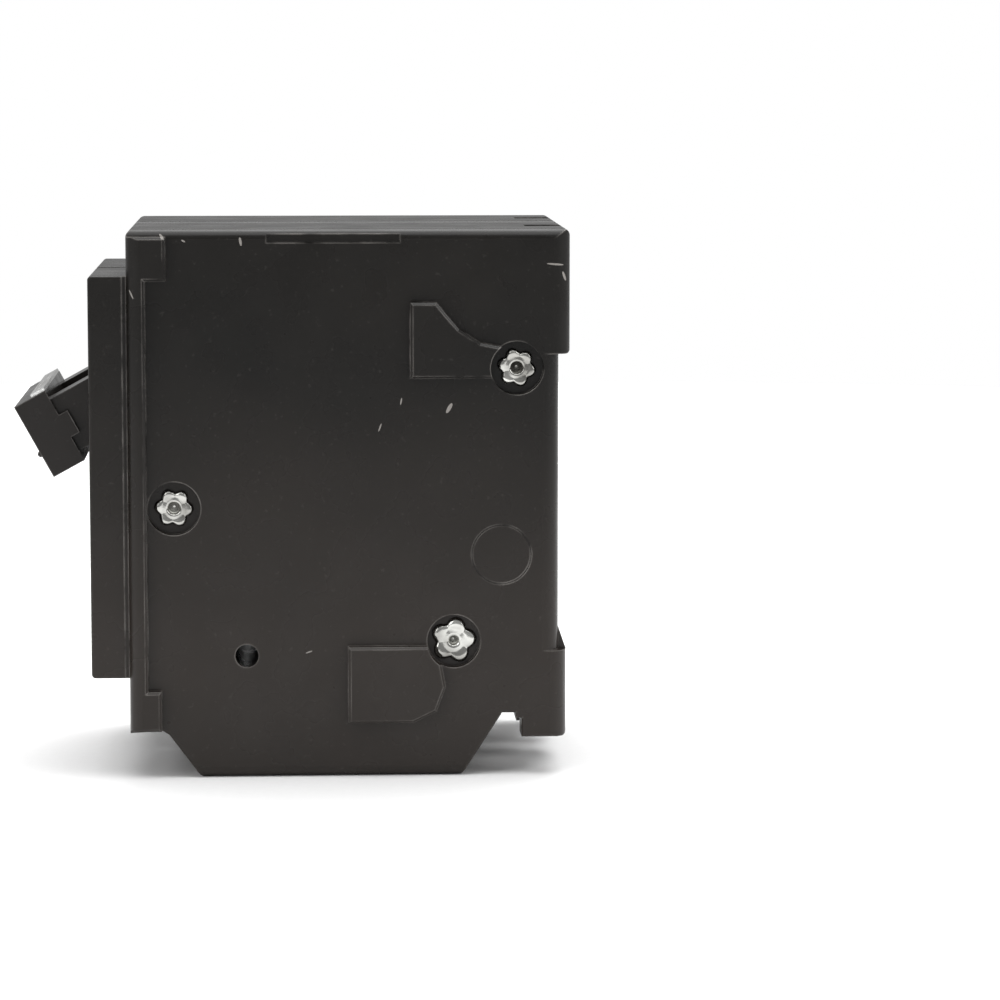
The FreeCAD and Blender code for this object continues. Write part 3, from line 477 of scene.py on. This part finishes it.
amber = wet_grease("amber_grease")
for pole, y, low, seed in (("a", POLES["a"], 0.0672, 4), ("b", POLES["b"], 0.0664, 9)):
    height = (0.0724 - low) / 2
    dressed(dab("grease_" + pole, (0.0309, y - 0.0001, low + height), (0.0020, 0.0019, height), seed),
            amber, "case", "grease", "jaw_grease_" + pole)

# ---- Current path inside the case ----------------------------------------------------------
# Bare copper strip leads from the jaw to the fixed contact, and from the bimetal to the lug.
# The moving arm carries a silver button, and a woven copper braid feeds it from the bimetal.

inner_copper = metal("strip_copper", (0.86, 0.50, 0.36), (0.58, 0.30, 0.20), 0.34, (0.08, 1.0, 1.0))
silver = metal("contact_silver", (0.86, 0.85, 0.82), (0.62, 0.60, 0.56), 0.38, scale=200.0, bumpy=0.3)
for pole, y in POLES.items():
    finish_nodes(inner_copper, "line_strap_" + pole, "contact_arm_" + pole, "load_strap_" + pole)
    finish_nodes(silver, "fixed_contact_" + pole, "moving_contact_" + pole)


def tube(name, path, radius, sides=8, closed=False):
    """A round wire: circles of the radius square to the path, their first direction taken
    from X, or from Z where the path runs nearly along X, so that the wire doesn't twist."""
    path = np.asarray(path, dtype=float)
    tangent = unit_rows(np.gradient(path, axis=0))
    guide = np.where(np.abs(tangent[:, :1]) < 0.9, [[1.0, 0, 0]], [[0, 0, 1.0]])
    first = unit_rows(np.cross(tangent, guide))
    second = np.cross(tangent, first)
    angle = np.linspace(0, 2 * np.pi, sides, endpoint=False)
    points = (path[:, None, :] + radius * np.cos(angle)[None, :, None] * first[:, None, :]
              + radius * np.sin(angle)[None, :, None] * second[:, None, :])
    return surface(name, points, round_u=closed, round_v=True)


def braid_form(name, y):
    """Twelve strands carried along a sagging centre line C(t). A strand sits at
    C + (1.45 mm) cos(a) Y + (0.35 mm) sin(a) N, with a = 2 pi (9 t + k / 6), half of the
    strands winding each way, so that they cross like a woven flat braid."""
    line = bend([(0.0000, y, 0.0514), (0.0022, y, 0.0492), (0.0048, y, 0.0448),
                 (0.0068, y, 0.0408), (0.00745, y, 0.0370)], 14, 0.5)
    share = np.linspace(0, 1, len(line))
    even = np.linspace(0, 1, 150)
    centre = np.stack([np.interp(even, share, line[:, i]) for i in range(3)], axis=1)
    tangent = unit_rows(np.gradient(centre, axis=0))
    normal = np.cross(tangent, (0.0, 1.0, 0.0))
    strands = []
    for way in (-1, 1):
        for k in range(6):
            angle = 2 * np.pi * way * (9 * even + k / 6)
            path = (centre + 0.00145 * np.cos(angle)[:, None] * np.array([0, 1.0, 0])
                    + 0.00035 * np.sin(angle)[:, None] * normal)
            strands.append(tube("strand", path, 0.00017, 6))
    return joined(name, strands)


for pole, y in POLES.items():
    woven = braid_form("woven_braid_" + pole, y)
    woven.data.materials.append(inner_copper)
    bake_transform(woven)
    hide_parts("braid_" + pole)

# ---- Latch, spring, bimetal and magnet -----------------------------------------------------
# Plated steel stampings: the cradle is held by the armature's ledge, and a close-wound spring
# pulls it. The bimetal stands inside the U of the magnet yoke.

plated = metal("zinc_plate", (0.70, 0.70, 0.66), (0.55, 0.50, 0.36), 0.30, scale=150.0)
bimetal_face = metal("bimetal_face", (0.66, 0.62, 0.55), (0.50, 0.40, 0.28), 0.32, (1.0, 1.0, 0.06))
wire_steel = metal("spring_wire", (0.55, 0.55, 0.56), (0.36, 0.34, 0.32), 0.28, scale=200.0)


def coil_spring(name, centre, axis, low, high, mean, wire, turns):
    """Helix C + mean (cos a, sin a) about the axis, its height rising evenly with a over the
    given turns, with a round wire carried along it."""
    t = np.linspace(0, 1, int(turns * 22))
    angle = 2 * np.pi * turns * t
    along = low + wire + (high - low - 2 * wire) * t
    ring = np.stack([mean * np.cos(angle), mean * np.sin(angle)], axis=1)
    place = {"X": (1, 2, 0), "Y": (0, 2, 1), "Z": (0, 1, 2)}[axis]
    path = np.zeros((len(t), 3))
    path[:, place[0]] = centre[0] + ring[:, 0]
    path[:, place[1]] = centre[1] + ring[:, 1]
    path[:, place[2]] = along
    return tube(name, path, wire, 8)


for pole, y in POLES.items():
    finish_nodes(plated, "cradle_" + pole, "armature_" + pole, "magnet_yoke_" + pole,
                 "arc_plates_" + pole, "lug_cage_" + pole)
    finish_nodes(bimetal_face, "bimetal_" + pole)
    pull = coil_spring("pull_spring_" + pole, (-0.0062, y), "Z", 0.0426, 0.0521, 0.0015, 0.00028,
                       15)
    pull.data.materials.append(wire_steel)
    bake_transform(pull)
    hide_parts("main_spring_" + pole)

# ---- Arc chute sides -----------------------------------------------------------------------
# Two cards of vulcanised fibre hold each stack of steel arc plates by their edges.


def fibre_card(name):
    """Grey-red fibre board: matted noise in colour and bump."""
    material, make, links, shader = start_material(name)
    place = make("TexCoord").outputs["Object"]
    felt = mottle(make, links, place, 1400.0, 0.3, 0.7, 4.0, (1.0, 1.0, 0.3))
    links.new(blend_colour(make, links, felt, (0.42, 0.28, 0.20), (0.26, 0.17, 0.13)),
              shader.inputs["Base Color"])
    shader.inputs["Roughness"].default_value = 0.8
    bump = make("Bump", Strength=0.4, Distance=0.00008)
    links.new(felt, bump.inputs["Height"])
    links.new(bump.outputs["Normal"], shader.inputs["Normal"])
    return material


finish_nodes(fibre_card("arc_fibre"), "arc_holder_a", "arc_holder_b")

# ---- Load terminal and calibration screws --------------------------------------------------
# Each load terminal is a plated steel cage that a cheese-head screw draws up against the
# strap. A small brass screw under the foot sets the bimetal.


def threaded(name, y, z, start, end, root, crest, pitch):
    """Screw thread about an X axis: radius = root + (crest - root) |2 frac(x / pitch
    + angle / 2 pi) - 1|, on a grid of position along the screw and angle about it."""
    x = np.linspace(start, end, int((end - start) / pitch * 12))[:, None]
    angle = np.linspace(0, 2 * np.pi, 36, endpoint=False)[None, :]
    wave = np.abs(2 * np.mod(x / pitch + angle / (2 * np.pi), 1.0) - 1)
    radius = root + (crest - root) * wave
    points = np.stack([x + 0 * angle, y + radius * np.cos(angle), z + radius * np.sin(angle)],
                      axis=-1)
    return surface(name, points, round_v=True)


def cheese_head(name, y, z, face, under, radius, groove):
    """Screw head about an X axis on a polar grid: a drum with an eased rim, and a face that
    drops by the groove's depth wherever |Y| or |Z| is within the groove's half width."""
    share = np.concatenate([np.linspace(0, 0.94, 46), [0.97, 0.99, 1.0, 1.0, 1.0, 0.99]])[:, None]
    depth = np.concatenate([np.zeros(46), [0.00005, 0.00012, 0.00025, 0.0012, under - face - 1e-4,
                                           under - face]])[:, None]
    angle = np.linspace(0, 2 * np.pi, 144, endpoint=False)[None, :]
    across = radius * share * np.cos(angle)
    up = radius * share * np.sin(angle)
    slot = (np.abs(up) < groove) | ((np.abs(across) < groove) & (share < 0.62))
    sunk = np.where(slot & (share < 0.96), 0.0010, 0.0)
    points = np.stack([face + depth + sunk, y + across, z + up], axis=-1)
    return surface(name, points, round_v=True)


screw_plate = metal("screw_plate", (0.72, 0.72, 0.69), (0.58, 0.54, 0.42), 0.26, scale=180.0)
brass = metal("sealed_brass", (0.80, 0.62, 0.30), (0.55, 0.38, 0.16), 0.34, scale=180.0)
screw_height = 0.0113
for pole, y in POLES.items():
    shank = threaded("shank", y, screw_height, -0.0254, -0.0179, 0.00155, 0.0019, 0.0008)
    head = cheese_head("head", y, screw_height, -0.0276, -0.0253, 0.0027, 0.00042)
    dressed(joined("terminal_screw_" + pole, [shank, head]), screw_plate, "lug_screw_" + pole,
            "zinc_steel", "lug_screw_" + pole)
finish_nodes(brass, "calibration_screw_a", "calibration_screw_b", "test_leaf")

# ---- Common trip bar -----------------------------------------------------------------------
# A red-brown moulded shaft runs through both poles, with one finger per pole and a fork for
# the solenoid's plunger.

finish_nodes(thermoset("trip_bar_plastic", (0.20, 0.035, 0.025), (0.26, 0.055, 0.035),
                       (0.42, 0.18, 0.13), 0.42), "trip_bar")

# ---- Ground-fault board, coil and solenoid -------------------------------------------------
# Pole B carries a small circuit board, a ring coil round the load strap and a solenoid that
# pulls the trip bar. Both windings are enamelled copper wire.


def solder_mask(name):
    """Green board with paler track lines from a turned brick pattern."""
    material, make, links, shader = start_material(name)
    place = make("TexCoord").outputs["Object"]
    turn = make("Mapping")
    turn.inputs["Rotation"].default_value = (math.pi / 2, 0, 0)
    links.new(place, turn.inputs["Vector"])
    tracks = make("TexBrick", Scale=420.0)
    tracks.inputs["Mortar Size"].default_value = 0.05
    tracks.inputs["Color1"].default_value = (0.02, 0.16, 0.06, 1)
    tracks.inputs["Color2"].default_value = (0.015, 0.13, 0.05, 1)
    tracks.inputs["Mortar"].default_value = (0.06, 0.30, 0.12, 1)
    links.new(turn.outputs["Vector"], tracks.inputs["Vector"])
    links.new(tracks.outputs["Color"], shader.inputs["Base Color"])
    bump = make("Bump", Strength=0.3, Distance=0.00005)
    links.new(tracks.outputs["Fac"], bump.inputs["Height"])
    links.new(bump.outputs["Normal"], shader.inputs["Normal"])
    shader.inputs["Roughness"].default_value = 0.35
    return material


def wound_ring(name, x0, x1, y, z, inner, outer, turns):
    """Wire wound round a ring about an X axis: with a the place round the ring and b the
    angle round its section, b = turns * a, the section being a rounded rectangle."""
    t = np.linspace(0, 1, turns * 16, endpoint=False)
    a = 2 * np.pi * t
    b = 2 * np.pi * turns * t
    squash = (np.abs(np.cos(b)) ** 4 + np.abs(np.sin(b)) ** 4) ** -0.25
    radius = (inner + outer) / 2 + (outer - inner) / 2 * np.cos(b) * squash
    x = (x0 + x1) / 2 + (x1 - x0) / 2 * np.sin(b) * squash
    path = np.stack([x, y + radius * np.cos(a), z + radius * np.sin(a)], axis=1)
    return tube(name, path, 0.00018, 6, closed=True)


enamel = metal("enamelled_wire", (0.62, 0.24, 0.10), (0.42, 0.14, 0.06), 0.30, scale=150.0)
finish_nodes(solder_mask("board_mask"), "circuit_board")
finish_nodes(thermoset("part_resin", (0.02, 0.02, 0.022), (0.035, 0.03, 0.05),
                       (0.25, 0.25, 0.25), 0.4), "board_parts")
centre = POLES["b"]
ring_height = 0.007
around = np.linspace(0, 2 * np.pi, 64, endpoint=False)[None, :]
core_x = np.array([-0.0022, 0.0015, 0.0015, -0.0022])[:, None]
core_radius = np.array([0.0035, 0.0035, 0.0045, 0.0045])[:, None]
core = surface("ring_core", np.stack([
    core_x + 0 * around, centre + core_radius * np.cos(around),
    ring_height + core_radius * np.sin(around)], axis=-1), round_u=True, round_v=True)
ring = wound_ring("ring_wire", -0.0024, 0.0017, centre, ring_height, 0.0033, 0.0047, 56)
dressed(joined("sensing_ring", [core, ring]), enamel, "case", "winding", "sensing_coil")
finish_nodes(enamel, "trip_solenoid")
finish_nodes(plated, "solenoid_frame", "solenoid_plunger")

# ---- Test button ---------------------------------------------------------------------------
# A pale moulded button is set flush in the front of pole B, over a coil spring and a brass
# leaf.


def button_plastic(name):
    """Pale moulded plastic with faint clouding and a fine satin skin."""
    material, make, links, shader = start_material(name)
    place = make("TexCoord").outputs["Object"]
    cloud = mottle(make, links, place, 300.0, 0.3, 0.7)
    links.new(blend_colour(make, links, cloud, (0.78, 0.76, 0.70), (0.70, 0.67, 0.60)),
              shader.inputs["Base Color"])
    shader.inputs["Roughness"].default_value = 0.35
    skin = make("TexNoise", Scale=3000.0)
    links.new(place, skin.inputs["Vector"])
    bump = make("Bump", Strength=0.12, Distance=0.00003)
    links.new(skin.outputs["Fac"], bump.inputs["Height"])
    links.new(bump.outputs["Normal"], shader.inputs["Normal"])
    return material


finish_nodes(button_plastic("test_button_plastic"), "test_button")
button_height = 0.027
spring_front, spring_rear = -0.03095, -0.0254
back = coil_spring("button_spring", (centre, button_height), "X", spring_front, spring_rear,
                   0.00175, 0.00022, 7)
back.data.materials.append(wire_steel)
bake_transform(back)
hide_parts("test_spring")

# ---- Floor, light and camera ---------------------------------------------------------------
# A round white table under the breaker, white air behind it, broad soft lights, and a long lens
# that looks at the side of pole A from a little above.


def round_floor(radius):
    """Flat disc at z = 0: (r cos t, r sin t, 0), with r from 0 to the radius."""
    r = np.linspace(0.001, radius, 14)[:, None]
    t = np.linspace(0, 2 * np.pi, 97)[None, :]
    return np.stack([r * np.cos(t), r * np.sin(t), 0 * r * t], axis=-1)


def paper(name):
    """Plain pale paper."""
    material, make, links, shader = start_material(name)
    place = make("TexCoord").outputs["Object"]
    fibre = mottle(make, links, place, 900.0, 0.3, 0.7)
    links.new(blend_colour(make, links, fibre, (0.90, 0.90, 0.90), (0.88, 0.88, 0.88)),
              shader.inputs["Base Color"])
    shader.inputs["Roughness"].default_value = 0.6
    return material


grid = round_floor(0.65)
rows, columns = grid.shape[:2]
index = np.arange(rows * columns).reshape(rows, columns)
quads = np.stack([index[:-1, :-1], index[1:, :-1], index[1:, 1:], index[:-1, 1:]], axis=-1)
floor_mesh = bpy.data.meshes.new("floor")
floor_mesh.from_pydata(grid.reshape(-1, 3).tolist(), [], quads.reshape(-1, 4).tolist())
floor_mesh.materials.append(paper("pale_paper"))
floor = bpy.data.objects.new("floor", floor_mesh)
bpy.context.collection.objects.link(floor)


def soft_light(name, place, aim, size, power):
    """A square area light at a place, facing a point."""
    lamp = bpy.data.lights.new(name, "AREA")
    lamp.size = size
    lamp.energy = power
    item = bpy.data.objects.new(name, lamp)
    item.location = place
    way = np.array(aim) - np.array(place)
    flat = math.hypot(way[0], way[1])
    item.rotation_euler = (math.atan2(flat, -way[2]), 0, math.atan2(way[1], way[0]) - math.pi / 2)
    bpy.context.collection.objects.link(item)


soft_light("overhead", (0.0, 0.05, 0.95), (0, 0, 0.03), 1.1, 12.0)
soft_light("left_front", (-0.75, -0.55, 0.55), (0, 0, 0.04), 0.6, 3.5)
soft_light("right_rear", (0.85, -0.25, 0.50), (0, 0, 0.04), 0.6, 3.5)
soft_light("back_wash", (0.0, 0.60, 0.9), (0, 0.60, 0), 0.9, 6.0)
world = bpy.data.worlds.new("studio")
world.use_nodes = True
sky = world.node_tree.nodes["Background"]
sky.inputs["Color"].default_value = (1, 1, 1, 1)
seen = world.node_tree.nodes.new("ShaderNodeLightPath")
level = world.node_tree.nodes.new("ShaderNodeMapRange")
level.inputs["To Min"].default_value = 0.42
level.inputs["To Max"].default_value = 1.0
world.node_tree.links.new(seen.outputs["Is Camera Ray"], level.inputs["Value"])
world.node_tree.links.new(level.outputs["Result"], sky.inputs["Strength"])
bpy.context.scene.world = world
bpy.context.scene.view_settings.view_transform = "Standard"

lens = bpy.data.cameras.new("camera")
lens.lens = 141.5
lens.sensor_width = 36.0
lens.clip_start = 0.01
camera = bpy.data.objects.new("camera", lens)
camera.location = (-0.0052, -0.5770, 0.1030)
camera.rotation_euler = (math.radians(90 - 6.53), 0, math.radians(-3.02))
bpy.context.collection.objects.link(camera)
bpy.context.scene.camera = camera
